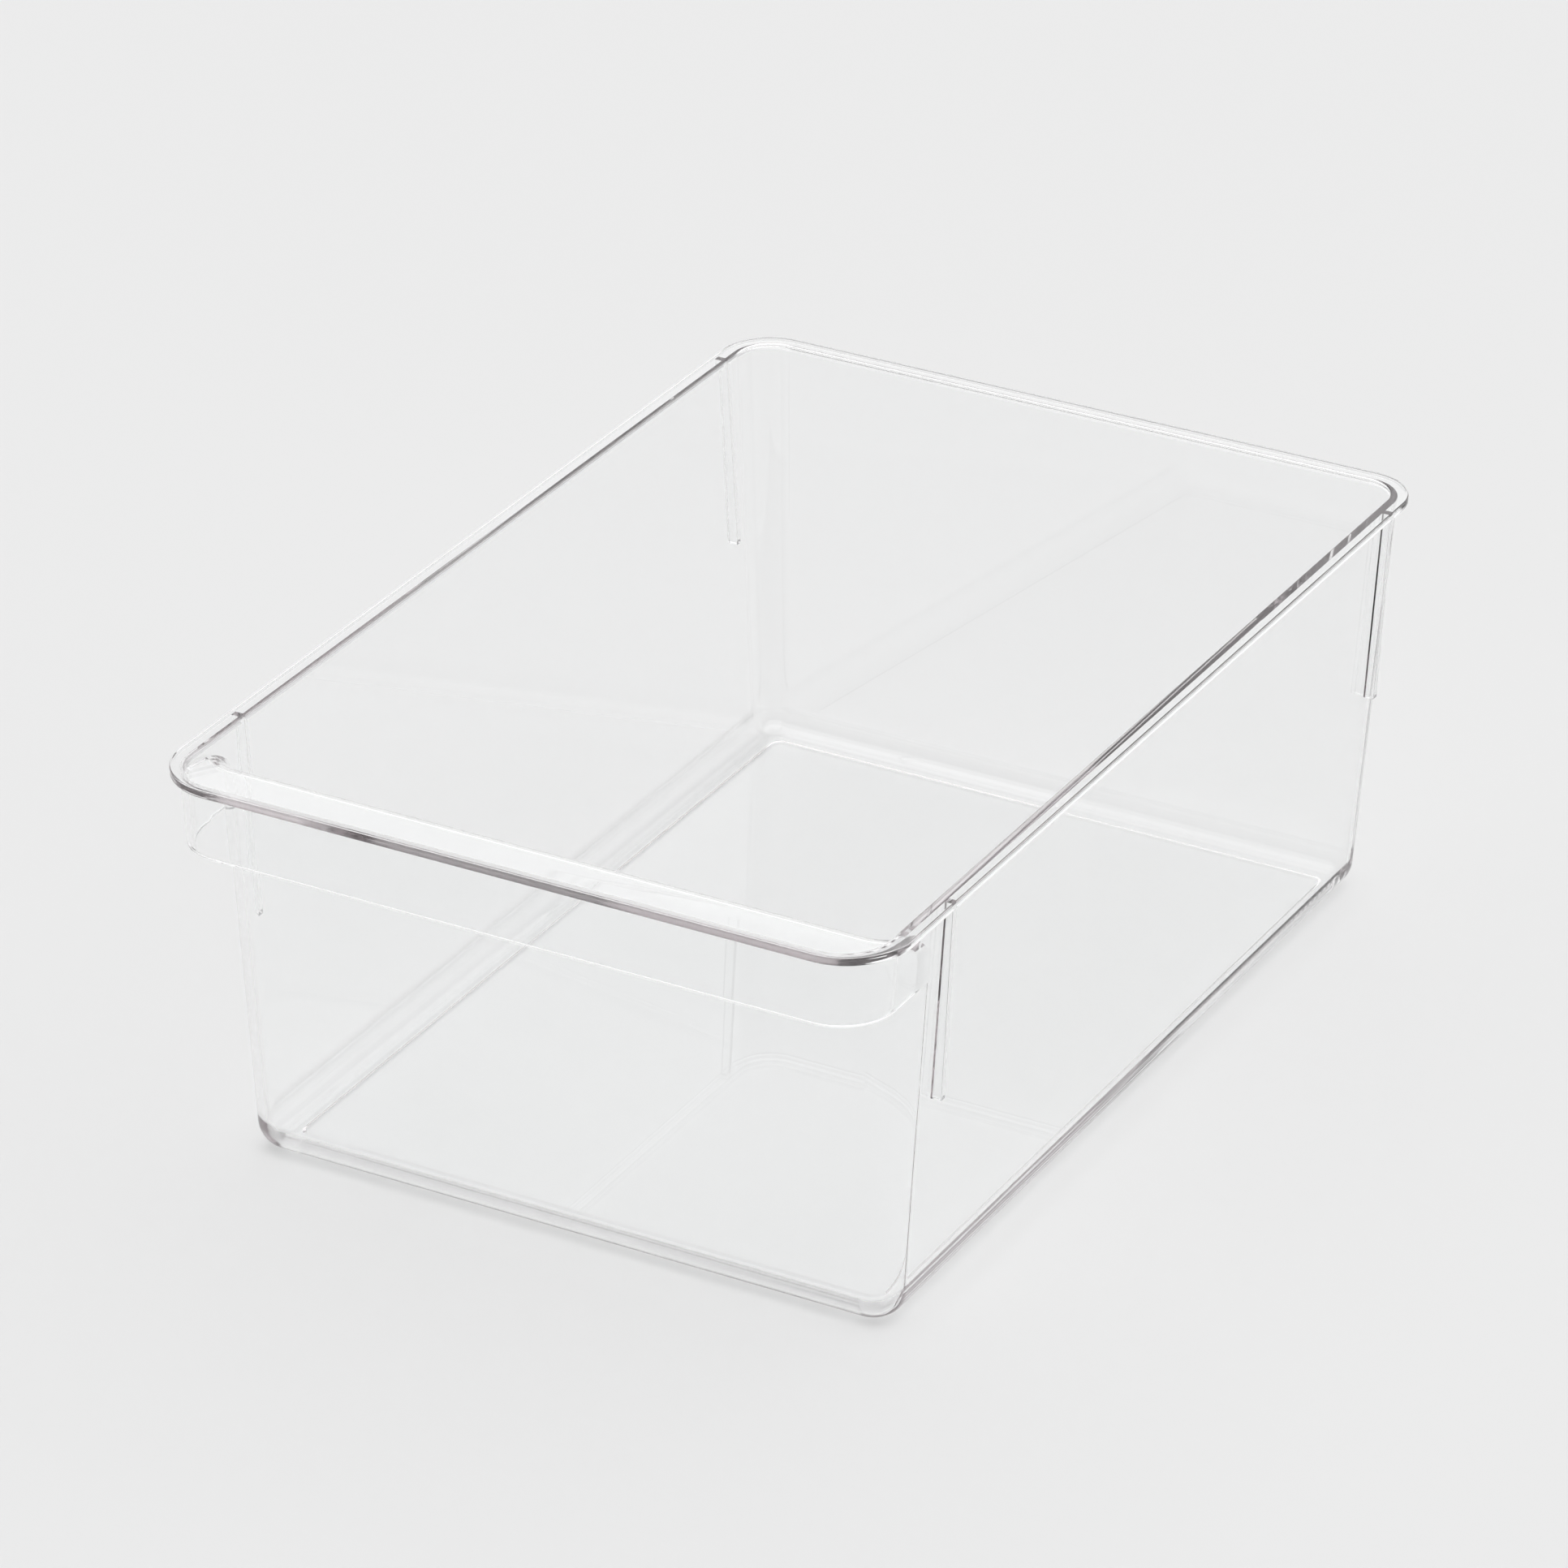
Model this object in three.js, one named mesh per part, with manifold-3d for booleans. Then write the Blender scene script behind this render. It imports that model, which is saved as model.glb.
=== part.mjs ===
import * as THREE from 'three';
import { mergeVertices } from 'three/addons/utils/BufferGeometryUtils.js';
import Module from 'manifold-3d';

const wasm = await Module();
wasm.setup();

// Overall size: the rim outline is the widest part, the underside of the foot is z = 0.
const WIDTH = 254;
const DEPTH = 378;
const HEIGHT = 144;
const WALL = 2.4;

// Rim: flat flange round the whole top.
const RIM_THICK = 2.75;
const RIM_EASE = 0.5;
const RIM_FRONT_RADIUS = 22;
const RIM_BACK_RADIUS = 18;
const SIDE_OVERHANG = 3.7;
const FRONT_OVERHANG = 2.6;

// Body below the rim: drafted sides and back, a steeper front wall, rolled bottom edge.
const DRAFT = 0.063;
const FRONT_DRAFT = 0.0215;
const FRONT_SETBACK = 28.4;
const BASE_RADIUS = 10.7;
const TOP_RADIUS = 14;
const BOTTOM_RADIUS = 9;
const INNER_BOTTOM_RADIUS = 8.3;

// Foot: the middle of the underside is hollowed so the bin stands on a ring.
const FOOT_INSET = 9.5;
const FOOT_FRONT_INSET = 14.5;
const FOOT_RECESS = 0.8;

// Handle: a ledge just under the rim slopes back from a narrow bar and rolls over into the front wall,
// and an apron hangs in front of it.
const BAR_WIDTH = 3.4;
const LEDGE_STEP = 1.2;
const LEDGE_DROP = 4;
const LEDGE_ROLL = 10.6;
const APRON_DROP = 25;
const APRON_EASE = 0.4;

// Guide ribs: two on the outside of each long side, hanging from the rim.
const RIB_THICK = 2.5;
const RIB_DROP = 69;
const RIB_REACH_TOP = 2.7;
const RIB_REACH_BOTTOM = 3.6;
const RIB_OFFSETS = [-DEPTH / 2 + 50, DEPTH / 2 - 25];

const ARC = 8;
const FRONT = -DEPTH / 2;
const BACK = DEPTH / 2;
const UNDER_RIM = HEIGHT - RIM_THICK;
const APRON_Z = HEIGHT - APRON_DROP;
const ROLL_Z = HEIGHT - LEDGE_DROP - LEDGE_ROLL;
const BAR_RADIUS = RIM_FRONT_RADIUS - SIDE_OVERHANG - WALL;
const SPARE = 0.01;

const drop = (z) => UNDER_RIM - z;
const sideOuter = (z) => WIDTH / 2 - SIDE_OVERHANG - DRAFT * drop(z);
const backOuter = (z) => BACK - SIDE_OVERHANG - DRAFT * drop(z);
const frontOuter = (z) => FRONT + FRONT_SETBACK + FRONT_DRAFT * drop(z);
const corner = (z) => BASE_RADIUS + (TOP_RADIUS - BASE_RADIUS) * z / HEIGHT;
const quarter = (n) => Array.from({ length: n + 1 }, (_, k) => k / n * Math.PI / 2);

// Slope of the ledge, as the angle of its normal above the level: a line from the foot of the bar that
// touches the roll.
const rollY = frontOuter(ROLL_Z) + WALL - LEDGE_ROLL;
const toBar = [FRONT + BAR_WIDTH - rollY, HEIGHT - LEDGE_STEP - ROLL_Z];
const SLOPE = Math.atan2(toBar[1], toBar[0]) - Math.acos(LEDGE_ROLL / Math.hypot(...toBar));

// Rounded rectangle at height z, listed anticlockwise from above.
function outline(half, front, back, frontRadius, backRadius, z) {
  const corners = [[1, 1, backRadius], [-1, 1, backRadius], [-1, -1, frontRadius], [1, -1, frontRadius]];
  return corners.flatMap(([sx, sy, r], i) => Array.from({ length: ARC + 1 }, (_, k) => {
    const a = (i + k / ARC) * Math.PI / 2;
    const cy = sy > 0 ? back - r : front + r;
    return new THREE.Vector3(sx * (half - r) + r * Math.cos(a), cy + r * Math.sin(a), z);
  }));
}

// Closed solid through matching level loops, each listed anticlockwise from above.
function skin(loops) {
  const n = loops[0].length;
  const index = [];
  for (let i = 0; i + 1 < loops.length; i++) {
    for (let k = 0; k < n; k++) {
      const a = i * n + k;
      const b = i * n + (k + 1) % n;
      index.push(a, b, b + n, a, b + n, a + n);
    }
  }
  const end = (loop, start, flip) => {
    const flat = loop.map((p) => new THREE.Vector2(p.x, p.y));
    for (const [a, b, c] of THREE.ShapeUtils.triangulateShape(flat, [])) {
      index.push(start + a, start + (flip ? c : b), start + (flip ? b : c));
    }
  };
  end(loops[0], 0, true);
  end(loops.at(-1), (loops.length - 1) * n, false);
  const geometry = new THREE.BufferGeometry();
  geometry.setAttribute('position', new THREE.Float32BufferAttribute(
    loops.flat().flatMap((p) => [p.x, p.y, p.z]), 3));
  geometry.setIndex(index);
  return solid(geometry);
}

function solid(geometry) {
  geometry.deleteAttribute('normal');
  geometry.deleteAttribute('uv');
  const merged = mergeVertices(geometry, 1e-4);
  const src = merged.index.array;
  const tris = [];
  for (let i = 0; i < src.length; i += 3) {
    const [a, b, c] = [src[i], src[i + 1], src[i + 2]];
    if (a !== b && b !== c && c !== a) tris.push(a, b, c);
  }
  return new wasm.Manifold(new wasm.Mesh({
    numProp: 3,
    vertProperties: new Float32Array(merged.attributes.position.array),
    triVerts: new Uint32Array(tris),
  }));
}

// The body inset by a wall, rolled under at the floor; flare lists how far it widens at greater heights.
function tub(wall, floor, roll, flare, spare = 0) {
  const rolled = quarter(ARC).map((a) => [-roll * (1 - Math.sin(a)), floor + roll * (1 - Math.cos(a))]);
  return skin([...rolled, ...flare].map(([wider, z]) => {
    const grow = wider - wall + spare;
    const r = Math.max(corner(z) + grow, 0.01);
    return outline(sideOuter(z) + grow, frontOuter(z) - grow, backOuter(z) + grow, r, r, z - spare);
  }));
}

// How the body widens from the foot of the roll to a reach ahead of the wall, depth under the ledge's top.
function ledge(depth, reach) {
  const r = LEDGE_ROLL - depth;
  const roll = Array.from({ length: ARC + 1 }, (_, k) => k / ARC * SLOPE)
    .map((a) => [r * (1 - Math.cos(a)), ROLL_Z + r * Math.sin(a)]);
  const [wide, z] = roll.at(-1);
  return [...roll, [reach, z + (reach - wide) / Math.tan(SLOPE)]];
}

// Block in front of the body that becomes the ledge, the apron and its two cheeks.
function handleBlock() {
  const r = RIM_FRONT_RADIUS - SIDE_OVERHANG;
  return skin([APRON_Z, APRON_Z + APRON_EASE, HEIGHT - 1].map((z, i) => {
    const ease = i === 0 ? APRON_EASE : 0;
    return outline(sideOuter(z) - ease, FRONT + FRONT_OVERHANG + ease, FRONT + 70, r - ease, 1, z);
  }));
}

function rimPlate() {
  const levels = [[UNDER_RIM, RIM_EASE], [UNDER_RIM + RIM_EASE, 0], [HEIGHT - RIM_EASE, 0],
    [HEIGHT, RIM_EASE]];
  return skin(levels.map(([z, e]) => outline(WIDTH / 2 - e, FRONT + e, BACK - e,
    RIM_FRONT_RADIUS - e, RIM_BACK_RADIUS - e, z)));
}

// A rib is rooted in the wall, leans a little less than it, and ends square.
function rib(side, y) {
  const half = RIB_THICK / 2;
  const loops = [[HEIGHT - RIB_DROP, RIB_REACH_BOTTOM], [UNDER_RIM + 1, RIB_REACH_TOP]].map(([z, reach]) => {
    const inner = side * (sideOuter(z) - WALL / 2);
    const outer = side * (sideOuter(z) + reach);
    const loop = [[inner, y - half], [outer, y - half], [outer, y + half], [inner, y + half]]
      .map(([x, v]) => new THREE.Vector3(x, v, z));
    return side > 0 ? loop : loop.reverse();
  });
  return skin(loops);
}

// Finger space under the ledge, open below, between the body and the apron with its cheeks.
function grip() {
  const apron = FRONT + FRONT_OVERHANG + WALL;
  const reach = frontOuter(HEIGHT) - FRONT;
  const roof = ledge(WALL, reach).at(-1)[1] - (apron - FRONT) / Math.tan(SLOPE);
  const levels = [[APRON_Z - 1, APRON_EASE], [APRON_Z, APRON_EASE], [APRON_Z + APRON_EASE, 0], [roof, 0]];
  const space = skin(levels.map(([z, e]) => outline(sideOuter(z) - WALL + e, apron - e, FRONT + 60,
    BAR_RADIUS + e, 1, z)));
  return space.subtract(tub(0, 0, BOTTOM_RADIUS, ledge(WALL, reach), SPARE));
}

// Inside of the bin: over the ledge, down the front wall, along the floor and up the back wall. The roll
// follows the body's corners until the side walls cut it off.
function inside() {
  const floor = FOOT_RECESS + WALL;
  const over = HEIGHT + 20;
  const reach = frontOuter(HEIGHT) + WALL - FRONT - BAR_WIDTH;
  const flare = ledge(0, reach);
  flare.push([reach + 1, flare.at(-1)[1]], [reach + 1, over]);
  const levels = quarter(ARC).map((a) => [-INNER_BOTTOM_RADIUS * (1 - Math.sin(a)),
    floor + INNER_BOTTOM_RADIUS * (1 - Math.cos(a))]);
  levels.push([0, over]);
  const mouth = skin(levels.map(([e, z]) => outline(sideOuter(z) - WALL + e, FRONT + BAR_WIDTH - e,
    backOuter(z) - WALL + e, BAR_RADIUS + e, Math.max(corner(z) - WALL + e, 0.01), z)));
  return mouth.intersect(tub(WALL, floor, INNER_BOTTOM_RADIUS, flare, SPARE));
}

function footRecess() {
  return skin([[-1, -0.3], [0, 0.5], [FOOT_RECESS, 1.3]].map(([z, e]) => {
    const inset = FOOT_INSET + e;
    return outline(sideOuter(0) - inset, frontOuter(0) + FOOT_FRONT_INSET + e, backOuter(0) - inset, 4, 4, z);
  }));
}

const ribs = RIB_OFFSETS.flatMap((y) => [rib(-1, y), rib(1, y)]);
const shell = [handleBlock(), rimPlate(), ...ribs]
  .reduce((all, piece) => all.add(piece), tub(0, 0, BOTTOM_RADIUS, [[0, HEIGHT - 1]]))
  .subtract(grip())
  .subtract(inside())
  .subtract(footRecess());

const mesh = shell.getMesh();
const shellGeometry = new THREE.BufferGeometry();
shellGeometry.setAttribute('position', new THREE.BufferAttribute(new Float32Array(mesh.vertProperties), 3));
shellGeometry.setIndex(new THREE.BufferAttribute(new Uint32Array(mesh.triVerts), 1));
shellGeometry.computeVertexNormals();

const clear = new THREE.MeshStandardMaterial({
  name: 'clear_plastic', color: 0xeef1f2, roughness: 0.05, metalness: 0, transparent: true, opacity: 0.35,
});
const bin = new THREE.Mesh(shellGeometry, clear);
bin.name = 'bin_shell';

const group = new THREE.Group();
group.name = 'fridge_bin';
group.add(bin);
export default group;
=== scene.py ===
import math

import bmesh
import bpy
import numpy as np
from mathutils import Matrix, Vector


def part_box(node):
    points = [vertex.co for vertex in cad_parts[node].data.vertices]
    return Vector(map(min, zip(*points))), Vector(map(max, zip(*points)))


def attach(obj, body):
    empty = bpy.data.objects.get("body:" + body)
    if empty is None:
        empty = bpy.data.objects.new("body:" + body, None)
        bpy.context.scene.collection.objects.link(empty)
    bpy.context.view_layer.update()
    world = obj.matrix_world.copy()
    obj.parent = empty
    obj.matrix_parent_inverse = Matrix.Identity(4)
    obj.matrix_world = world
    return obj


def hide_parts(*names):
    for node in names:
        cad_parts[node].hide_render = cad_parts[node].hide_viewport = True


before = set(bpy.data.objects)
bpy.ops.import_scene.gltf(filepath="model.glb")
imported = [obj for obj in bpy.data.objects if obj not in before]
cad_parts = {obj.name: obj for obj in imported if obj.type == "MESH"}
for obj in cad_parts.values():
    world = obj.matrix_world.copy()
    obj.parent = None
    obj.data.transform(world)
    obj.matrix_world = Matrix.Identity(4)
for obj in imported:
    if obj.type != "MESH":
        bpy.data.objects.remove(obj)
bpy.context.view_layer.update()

# ---------------------------------------------------------------- shell, outside
# The bin is one injection moulding in clear polystyrene. The outside is a drafted tub with a rolled
# bottom edge and rounded corners; the front wall stands steeper than the other three.
low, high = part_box("bin_shell")
WIDTH, DEPTH, HEIGHT = high.x - low.x, high.y - low.y, high.z - low.z
FRONT, BACK = low.y, high.y
WALL = 0.0024
RIM_THICK = 0.00275
OVERHANG = 0.0037
SETBACK = 0.0284
DRAFT, FRONT_DRAFT = 0.063, 0.0215
BOTTOM_RADIUS = 0.009
BASE_CORNER, TOP_CORNER = 0.0107, 0.014
INNER_EXTRA = 0.0005
LEAST_RADIUS, WELD = 1e-5, 1e-7
UNDER_RIM = HEIGHT - RIM_THICK
SUNK = 0.001  # how far one solid runs on inside another before they are joined or cut
ARC = 20
ROLL_ARC = ARC // 2


def side_outer(z):
    return WIDTH / 2 - OVERHANG - DRAFT * (UNDER_RIM - z)


def back_outer(z):
    return BACK - OVERHANG - DRAFT * (UNDER_RIM - z)


def front_outer(z):
    return FRONT + SETBACK + FRONT_DRAFT * (UNDER_RIM - z)


def corner(z):
    """Outer radius of the upright corners; they open a little towards the top."""
    return BASE_CORNER + (TOP_CORNER - BASE_CORNER) * z / HEIGHT


def quarter(steps):
    """Angles of a quarter turn."""
    return np.linspace(0, math.pi / 2, steps + 1)


def outline(half, front, back, front_radius, back_radius, z, steps=ARC):
    """A rounded rectangle at height z, anticlockwise from above."""
    points = []
    for i, (sx, sy) in enumerate(((1, 1), (-1, 1), (-1, -1), (1, -1))):
        r = back_radius if sy > 0 else front_radius
        cy = back - r if sy > 0 else front + r
        for k in range(steps + 1):
            a = (i + k / steps) * math.pi / 2
            points.append((sx * (half - r) + r * math.cos(a), cy + r * math.sin(a), z))
    return points


def skin(name, loops):
    """A closed solid through matching loops, capped by a flat face at each end."""
    n = len(loops[0])
    verts = [p for loop in loops for p in loop]
    faces = [[i * n + k, i * n + (k + 1) % n, (i + 1) * n + (k + 1) % n, (i + 1) * n + k]
             for i in range(len(loops) - 1) for k in range(n)]
    faces += [list(range(n))[::-1], [(len(loops) - 1) * n + k for k in range(n)]]
    mesh = bpy.data.meshes.new(name)
    mesh.from_pydata(verts, [], faces)
    closed = bmesh.new()
    closed.from_mesh(mesh)
    bmesh.ops.remove_doubles(closed, verts=closed.verts, dist=WELD)
    bmesh.ops.recalc_face_normals(closed, faces=closed.faces)
    closed.to_mesh(mesh)
    closed.free()
    solid = bpy.data.objects.new(name, mesh)
    bpy.context.scene.collection.objects.link(solid)
    return solid


def tub(name, wall, floor, roll, flare, spare=0.0):
    """The body inset by a wall and rolled under at the floor. The flare lists how far it widens at
    greater heights, and the spare keeps its surface clear of one that would lie on it."""
    rolled = [(-roll * (1 - math.sin(a)), floor + roll * (1 - math.cos(a))) for a in quarter(ROLL_ARC)]
    extra = INNER_EXTRA if wall else 0.0
    loops = []
    for wider, z in rolled + flare:
        grow = wider - wall + spare
        r = max(corner(z) + grow + extra, LEAST_RADIUS)
        loops.append(outline(side_outer(z) + grow, front_outer(z) - grow, back_outer(z) + grow, r, r,
                             z - spare))
    return skin(name, loops)


shell = tub("bin", 0.0, 0.0, BOTTOM_RADIUS, [(0.0, HEIGHT - SUNK)])


# ---------------------------------------------------------------- rim
# A flat flange runs round the whole top, moulded with the walls. Its outer edges are eased by the
# polished tool, so they catch a thin line of light.
RIM_FRONT, RIM_BACK = 0.022, 0.018
RIM_EASE = 0.0006
EASE_ARC, WIDE_ARC = 6, 32


def rim_plate():
    lower = [(UNDER_RIM + RIM_EASE * (1 - math.cos(a)), RIM_EASE * (1 - math.sin(a)))
             for a in quarter(EASE_ARC)]
    upper = [(HEIGHT - RIM_EASE * (1 - math.sin(a)), RIM_EASE * (1 - math.cos(a)))
             for a in quarter(EASE_ARC)]
    return skin("rim", [outline(WIDTH / 2 - e, FRONT + e, BACK - e, RIM_FRONT - e, RIM_BACK - e, z, WIDE_ARC)
                        for z, e in lower + upper])


# ---------------------------------------------------------------- finger pull
# The front wall rolls forward into a ledge just under the rim, and an apron hangs from the rim in
# front of it, wrapping both corners. Fingers hook up behind the apron; its lower edge is rounded.
BAR = 0.0034
STEP = 0.0012
LEDGE_DROP = 0.004
LEDGE_ROLL = 0.0106
APRON_Z = HEIGHT - 0.025
APRON_FACE = 0.0026
APRON_EASE = 0.00025
BLOCK_REACH = 0.07
GRIP_REACH = 0.06
SPARE = 5e-6
HANDLE_CORNER = RIM_FRONT - OVERHANG
BAR_CORNER = HANDLE_CORNER - WALL
ROLL_Z = HEIGHT - LEDGE_DROP - LEDGE_ROLL
ROLL_Y = front_outer(ROLL_Z) + WALL - LEDGE_ROLL
bar_gap = (ROLL_Y - FRONT - BAR, HEIGHT - STEP - ROLL_Z)
SLOPE = math.atan2(bar_gap[1], -bar_gap[0]) - math.acos(LEDGE_ROLL / math.hypot(*bar_gap))


def apron_edge():
    """Heights and insets of the apron's rounded lower edge."""
    return [(APRON_Z + APRON_EASE * (1 - math.cos(a)), APRON_EASE * (1 - math.sin(a)))
            for a in quarter(EASE_ARC)]


def handle_block():
    levels = apron_edge() + [(HEIGHT - SUNK, 0)]
    return skin("handle", [outline(side_outer(z) - e, FRONT + APRON_FACE + e, FRONT + BLOCK_REACH,
                                   HANDLE_CORNER - e, SUNK, z, WIDE_ARC) for z, e in levels])


def ledge(depth, reach):
    """How the body widens from the roll's foot to a distance ahead of the wall, depth under the
    ledge's top."""
    r = LEDGE_ROLL - depth
    roll = [(r * (1 - math.cos(a)), ROLL_Z + r * math.sin(a)) for a in np.linspace(0, SLOPE, ARC)]
    wide, z = roll[-1]
    return roll + [(reach, z + (reach - wide) / math.tan(SLOPE))]


def bake_modifiers(piece):
    """Turns a piece's modifiers into its own mesh."""
    graph = bpy.context.evaluated_depsgraph_get()
    result = bpy.data.meshes.new_from_object(piece.evaluated_get(graph))
    piece.modifiers.clear()
    piece.data = result


def combine(base, tool, operation):
    """Joins a solid to the base, cuts it away or keeps what they share, and takes it out of the scene."""
    change = base.modifiers.new(operation, "BOOLEAN")
    change.operation = operation
    change.solver = "MANIFOLD"
    change.object = tool
    bake_modifiers(base)
    bpy.data.objects.remove(tool)
    return base


def grip():
    """The finger space between the body, the underside of the ledge and the apron."""
    apron = FRONT + APRON_FACE + WALL
    reach = front_outer(HEIGHT) - FRONT
    underside = ledge(WALL, reach)
    roof = underside[-1][1] - (apron - FRONT) / math.tan(SLOPE)
    levels = [(APRON_Z - SUNK, APRON_EASE)] + apron_edge() + [(roof, 0.0)]
    space = skin("grip", [outline(side_outer(z) - WALL + e, apron - e, FRONT + GRIP_REACH, BAR_CORNER + e,
                                  SUNK, z, WIDE_ARC) for z, e in levels])
    return combine(space, tub("underside", 0.0, 0.0, BOTTOM_RADIUS, underside, SPARE), "DIFFERENCE")


# ---------------------------------------------------------------- guide ribs
# Two upright ribs stand out from each long side and stop square halfway down. They steady the bin
# against its neighbour, and they are moulded with the wall.
RIB_THICK, RIB_DROP = 0.0025, 0.069
RIB_REACH_TOP, RIB_REACH_BOTTOM = 0.0027, 0.0036
RIB_EASE, RIB_ARC = 0.00015, 4
RIB_PLACES = (FRONT + 0.050, BACK - 0.025)


def rib(side, y):
    loops = []
    foot = HEIGHT - RIB_DROP
    for z, reach, e in ((foot, RIB_REACH_BOTTOM, RIB_EASE), (foot + RIB_EASE, RIB_REACH_BOTTOM, 0.0),
                        (UNDER_RIM + SUNK, RIB_REACH_TOP, 0.0)):
        half, r = RIB_THICK / 2 - e, RIB_EASE
        inner, outer = side_outer(z) - WALL / 2, side_outer(z) + reach - e
        turn = quarter(RIB_ARC)
        loop = [(inner, y - half), (outer - r, y - half)]
        loop += [(outer - r + r * math.sin(a), y - half + r - r * math.cos(a)) for a in turn[1:]]
        loop += [(outer - r + r * math.cos(a), y + half - r + r * math.sin(a)) for a in turn]
        loop += [(inner, y + half)]
        loops.append([(side * x, v, z) for x, v in loop])
    return skin("rib", loops)


# ---------------------------------------------------------------- inside
# The inside follows the outside at one wall thickness, with upright corners half a millimetre rounder
# and generous fillets between floor and walls. It runs over the ledge, down the front wall, along the
# floor and up the back.
FOOT_RECESS = 0.0008
FLOOR = FOOT_RECESS + WALL
LOW_FILLET = 0.0083
MOUTH_EASE = 0.0005
MOUTH_TOP, TUB_TOP = HEIGHT + 0.005, HEIGHT + 0.01


def inside():
    reach = front_outer(HEIGHT) + WALL - FRONT - BAR
    flare = ledge(0.0, reach)
    flare += [(reach + SUNK, flare[-1][1]), (reach + SUNK, TUB_TOP)]
    levels = [(-LOW_FILLET * (1 - math.sin(a)), FLOOR + LOW_FILLET * (1 - math.cos(a)))
              for a in quarter(ROLL_ARC)]
    levels += [(MOUTH_EASE * (1 - math.cos(a)), HEIGHT - MOUTH_EASE * (1 - math.sin(a)))
               for a in quarter(EASE_ARC)]
    levels += [(MOUTH_EASE, MOUTH_TOP)]
    loops = []
    for e, z in levels:
        back_corner = max(corner(z) - WALL + e + INNER_EXTRA, LEAST_RADIUS)
        loops.append(outline(side_outer(z) - WALL + e, FRONT + BAR - e, back_outer(z) - WALL + e,
                             BAR_CORNER + e, back_corner, z, WIDE_ARC))
    return combine(skin("mouth", loops), tub("inside", WALL, FLOOR, LOW_FILLET, flare, SPARE), "INTERSECT")


# ---------------------------------------------------------------- foot
# The middle of the underside is hollowed, so the bin stands on a flat ring inside the rolled edge.
# With it the moulding is whole: the solids are joined, then the hollows are cut.
FOOT_INSET, FOOT_FRONT, FOOT_CORNER = 0.0095, 0.0145, 0.004
FOOT_EASE = 0.0005


def foot_recess():
    loops = []
    for z, e in ((-SUNK, FOOT_EASE - FOOT_RECESS), (0, FOOT_EASE), (FOOT_RECESS, FOOT_EASE + FOOT_RECESS)):
        loops.append(outline(side_outer(0) - FOOT_INSET - e, front_outer(0) + FOOT_FRONT + e,
                             back_outer(0) - FOOT_INSET - e, FOOT_CORNER, FOOT_CORNER, z))
    return skin("foot", loops)


added = [handle_block(), rim_plate()] + [rib(side, y) for y in RIB_PLACES for side in (-1, 1)]
for solid in added:
    combine(shell, solid, "UNION")
for hollow in (grip(), inside(), foot_recess()):
    combine(shell, hollow, "DIFFERENCE")

SEAM, FLAT, CREASE = 2e-6, math.radians(0.05), math.radians(24)
clean = bmesh.new()
clean.from_mesh(shell.data)
bmesh.ops.remove_doubles(clean, verts=clean.verts, dist=SEAM)
bmesh.ops.dissolve_limit(clean, angle_limit=FLAT, verts=clean.verts, edges=clean.edges)
clean.to_mesh(shell.data)
clean.free()
shell.data.shade_smooth()
shell.data.set_sharp_from_angle(angle=CREASE)
even = shell.modifiers.new("even", "WEIGHTED_NORMAL")
even.mode = "FACE_AREA"
even.weight = 100
even.keep_sharp = True
bake_modifiers(shell)
shell.name = "bin_clear"


# ---------------------------------------------------------------- clear plastic
# Colourless polystyrene with a polished surface: a faint cool tint, very slight flow marks from the
# moulding, and a fine haze of handling on the outside. Thick sections darken a little.
class Sock:
    """A shader value that can be used in plain sums."""

    def __init__(self, tree, out):
        self.tree, self.out = tree, out

    def maths(self, operation, *others):
        box = self.tree.nodes.new("ShaderNodeMath")
        box.operation = operation
        for place, value in zip(box.inputs, (self, *others)):
            wire(self.tree, place, value)
        return Sock(self.tree, box.outputs[0])

    def __add__(self, other):
        return self.maths("ADD", other)

    def __mul__(self, other):
        return self.maths("MULTIPLY", other)

    def __sub__(self, other):
        return self.maths("SUBTRACT", other)

    def __rsub__(self, other):
        return self * -1 + other

    __radd__ = __add__
    __rmul__ = __mul__


def wire(tree, place, value):
    if isinstance(value, Sock):
        tree.links.new(value.out, place)
    else:
        place.default_value = value


class Finish:
    """The shader tree of a material or a world."""

    def __init__(self, owner):
        owner.use_nodes = True
        self.tree = owner.node_tree
        self.tree.nodes.clear()

    def node(self, kind, settings=None, output=0, **values):
        """Adds a node: its settings first, then each socket's value or link, named or as sN by place."""
        box = self.tree.nodes.new("ShaderNode" + kind)
        for key, value in (settings or {}).items():
            setattr(box, key, value)
        for key, value in values.items():
            place = int(key[1:]) if key[1:].isdigit() else key.replace("_", " ")
            wire(self.tree, box.inputs[place], value)
        return Sock(self.tree, box.outputs[output]) if box.outputs else None

    def blend(self, share, first, second):
        """A mix of two colours."""
        return self.node("Mix", {"data_type": "RGBA"}, 2, s0=share, s6=(*first, 1), s7=(*second, 1))


polystyrene = bpy.data.materials.new("clear_polystyrene")
clear = Finish(polystyrene)
place_on_bin = clear.node("TexCoord", output=3)
flow = clear.node("TexNoise", Vector=place_on_bin, Scale=6.0, Detail=2.0)
haze = clear.node("TexNoise", Vector=place_on_bin, Scale=55.0, Detail=4.0)
tint = clear.blend(flow, (0.992, 0.996, 0.996), (0.997, 1.0, 1.0))
flow_marks = clear.node("Bump", Strength=0.02, Distance=0.0002, Height=flow)
surface = clear.node("BsdfPrincipled", Base_Color=tint, Roughness=haze * 0.02, IOR=1.58,
                     Transmission_Weight=1.0, Normal=flow_marks)
thickness = clear.node("VolumeAbsorption", Color=(0.50, 0.44, 0.46, 1), Density=3.6)
clear.node("OutputMaterial", Surface=surface, Volume=thickness)
shell.data.materials.clear()
shell.data.materials.append(polystyrene)
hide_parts("bin_shell")
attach(shell, "root")


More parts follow.
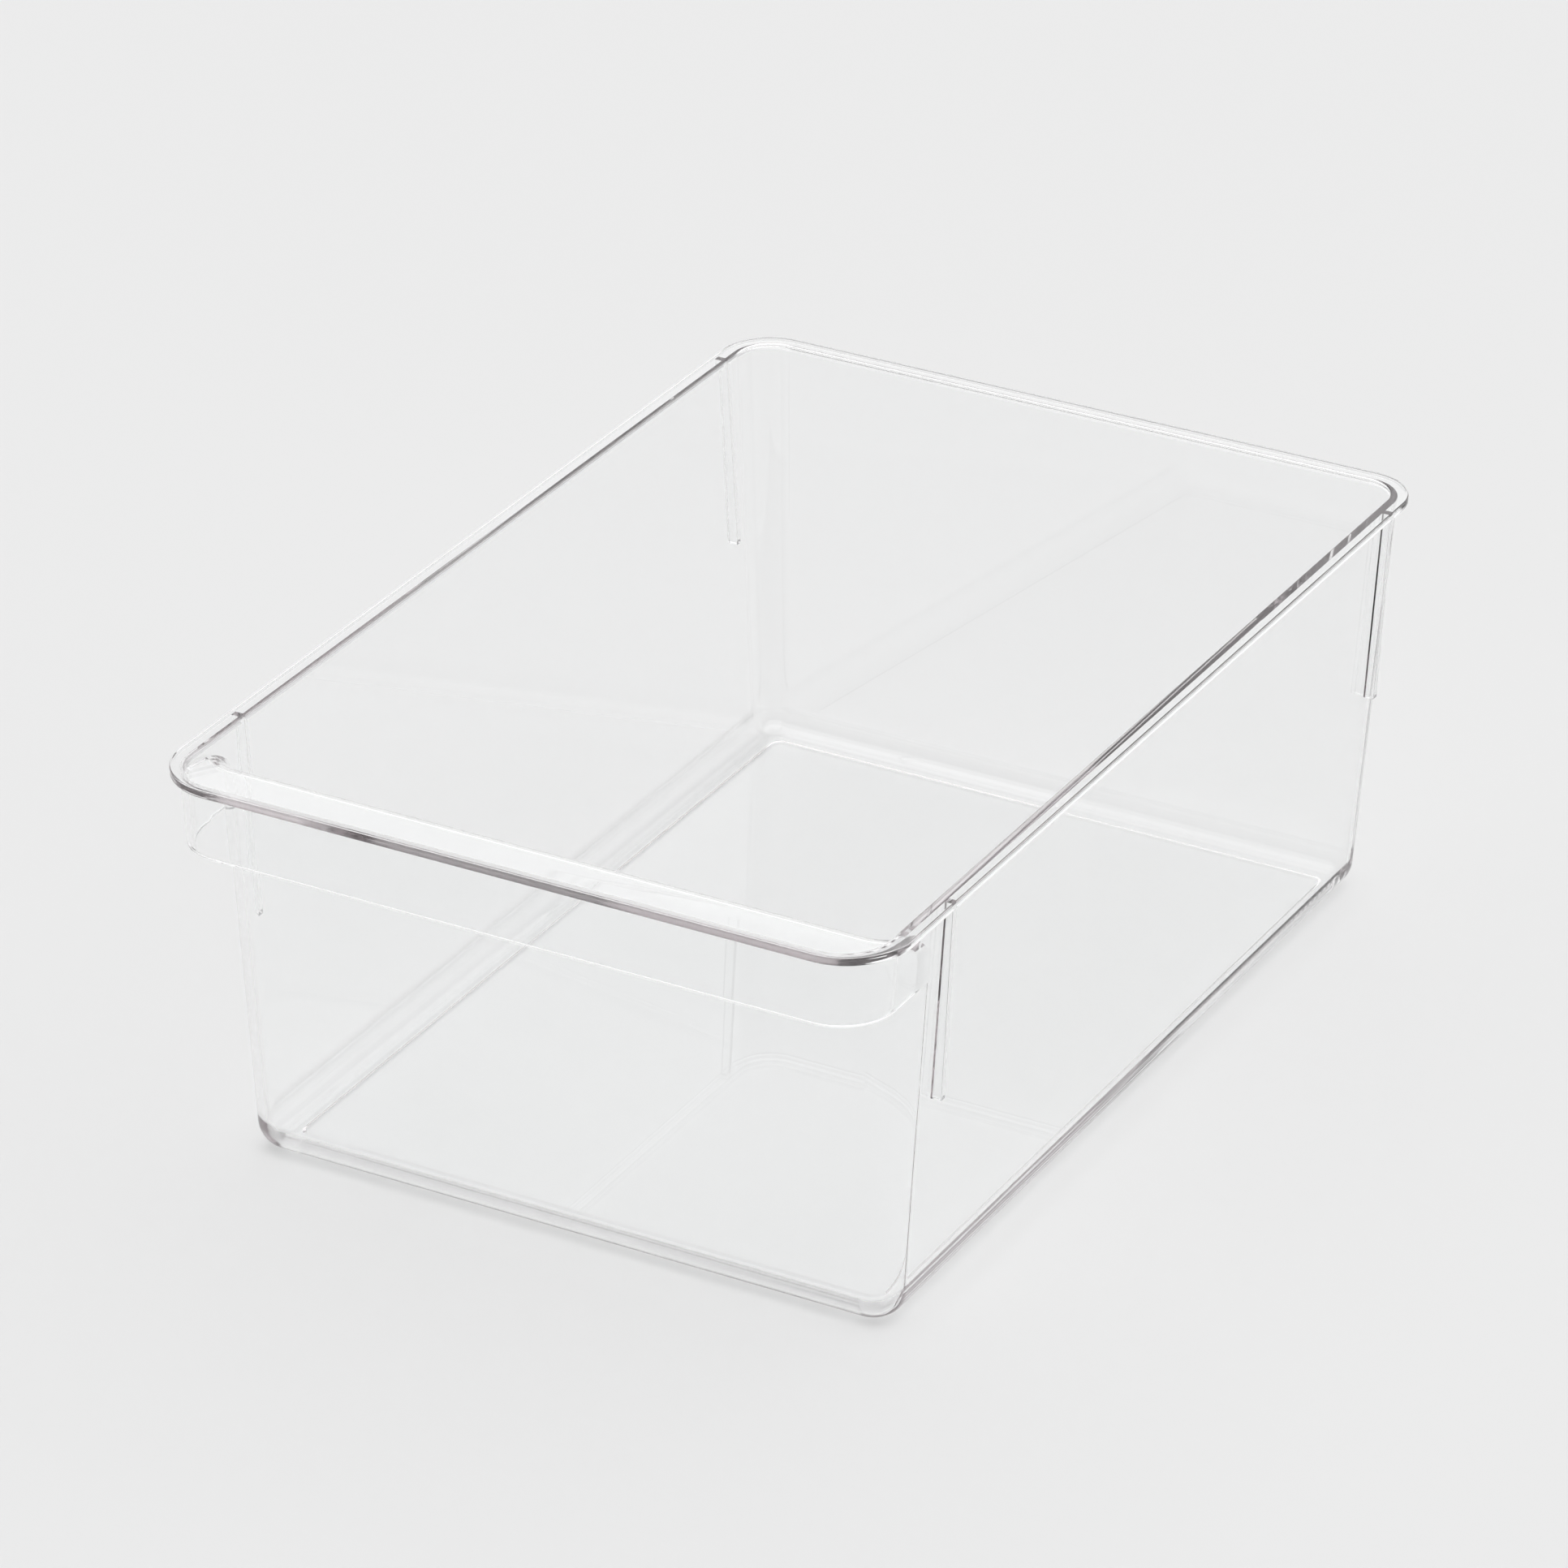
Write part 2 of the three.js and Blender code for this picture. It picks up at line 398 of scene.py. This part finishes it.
# ---------------------------------------------------------------- floor
# A wide round sheet of pale card, matt with a faint fibre, lies under the bin. It sits a hair below
# the foot, so that the two faces don't share a plane.
CARD_RADIUS, CARD_EDGES, CARD_Z = 30, 96, -0.0002
card_mesh = bpy.data.meshes.new("floor")
card_turn = np.linspace(0, 2 * math.pi, CARD_EDGES, endpoint=False)
card_mesh.from_pydata([(CARD_RADIUS * math.cos(a), CARD_RADIUS * math.sin(a), CARD_Z) for a in card_turn],
                      [], [list(range(CARD_EDGES))])
floor = bpy.data.objects.new("floor", card_mesh)
bpy.context.scene.collection.objects.link(floor)
pale_card = bpy.data.materials.new("pale_card")
card = Finish(pale_card)
fibre = card.node("TexNoise", Vector=card.node("TexCoord", output=3), Scale=3.0, Detail=3.0)
pale = card.blend(fibre, (0.800, 0.800, 0.800), (0.806, 0.806, 0.806))
matt = card.node("BsdfPrincipled", Base_Color=pale, Roughness=0.9, Specular_IOR_Level=0.1)
card.node("OutputMaterial", Surface=matt)
card_mesh.materials.append(pale_card)


# ---------------------------------------------------------------- light
# There are no lamps: a pale surround lights the bin. It is dim in front, bright low down behind and a
# little to the right, where the clear edges pick it up, and has a soft bright ceiling.
DIM, SWEEP, CEILING = 0.32, 0.80, 1.32
scene = bpy.context.scene
studio = bpy.data.worlds.new("studio")
scene.world = studio
room = Finish(studio)
facing = room.node("TexCoord", output=0)
right = room.node("SeparateXYZ", output=0, Vector=facing)
rear = room.node("SeparateXYZ", output=1, Vector=facing)
up = room.node("SeparateXYZ", output=2, Vector=facing)
SMOOTH = {"interpolation_type": "SMOOTHSTEP"}
sweep = room.node("MapRange", SMOOTH, Value=up - 0.6 * rear - 0.12 * right, From_Min=-0.08,
                  From_Max=0.34, To_Min=SWEEP, To_Max=0.0)
ceiling = room.node("MapRange", SMOOTH, Value=up + 0.15 * rear, From_Min=0.68,
                    From_Max=0.78, To_Min=0.0, To_Max=CEILING)
glow = room.node("Background", Color=(1.0, 1.0, 1.0, 1), Strength=DIM + sweep + ceiling)
room.node("OutputWorld", Surface=glow)


# ---------------------------------------------------------------- camera
# The view is from the front right and above, with a long lens. Clear plastic needs many bounces, or
# light that runs along inside the rim and ribs is lost and they turn black.
AZIMUTH, ELEVATION, DISTANCE = math.radians(29.045), math.radians(27.568), 2.4558
SENSOR, LENS = 36, 176.33
CLEAR_BOUNCES = 160
view = bpy.data.cameras.new("camera")
view.sensor_width = SENSOR
view.lens = LENS
view.clip_end = 100
camera = bpy.data.objects.new("camera", view)
scene.collection.objects.link(camera)
aim = np.array((-0.00938, 0.00109, HEIGHT - 0.06))
back_off = np.array((math.sin(AZIMUTH) * math.cos(ELEVATION), -math.cos(AZIMUTH) * math.cos(ELEVATION),
                     math.sin(ELEVATION)))
camera.location = aim + back_off * DISTANCE
camera.rotation_euler = (math.pi / 2 - ELEVATION, 0, AZIMUTH)
scene.camera = camera
scene.view_settings.view_transform = "Standard"
scene.cycles.blur_glossy = 0.0
scene.cycles.diffuse_bounces = 12
scene.cycles.max_bounces = CLEAR_BOUNCES
scene.cycles.glossy_bounces = CLEAR_BOUNCES
scene.cycles.transmission_bounces = CLEAR_BOUNCES
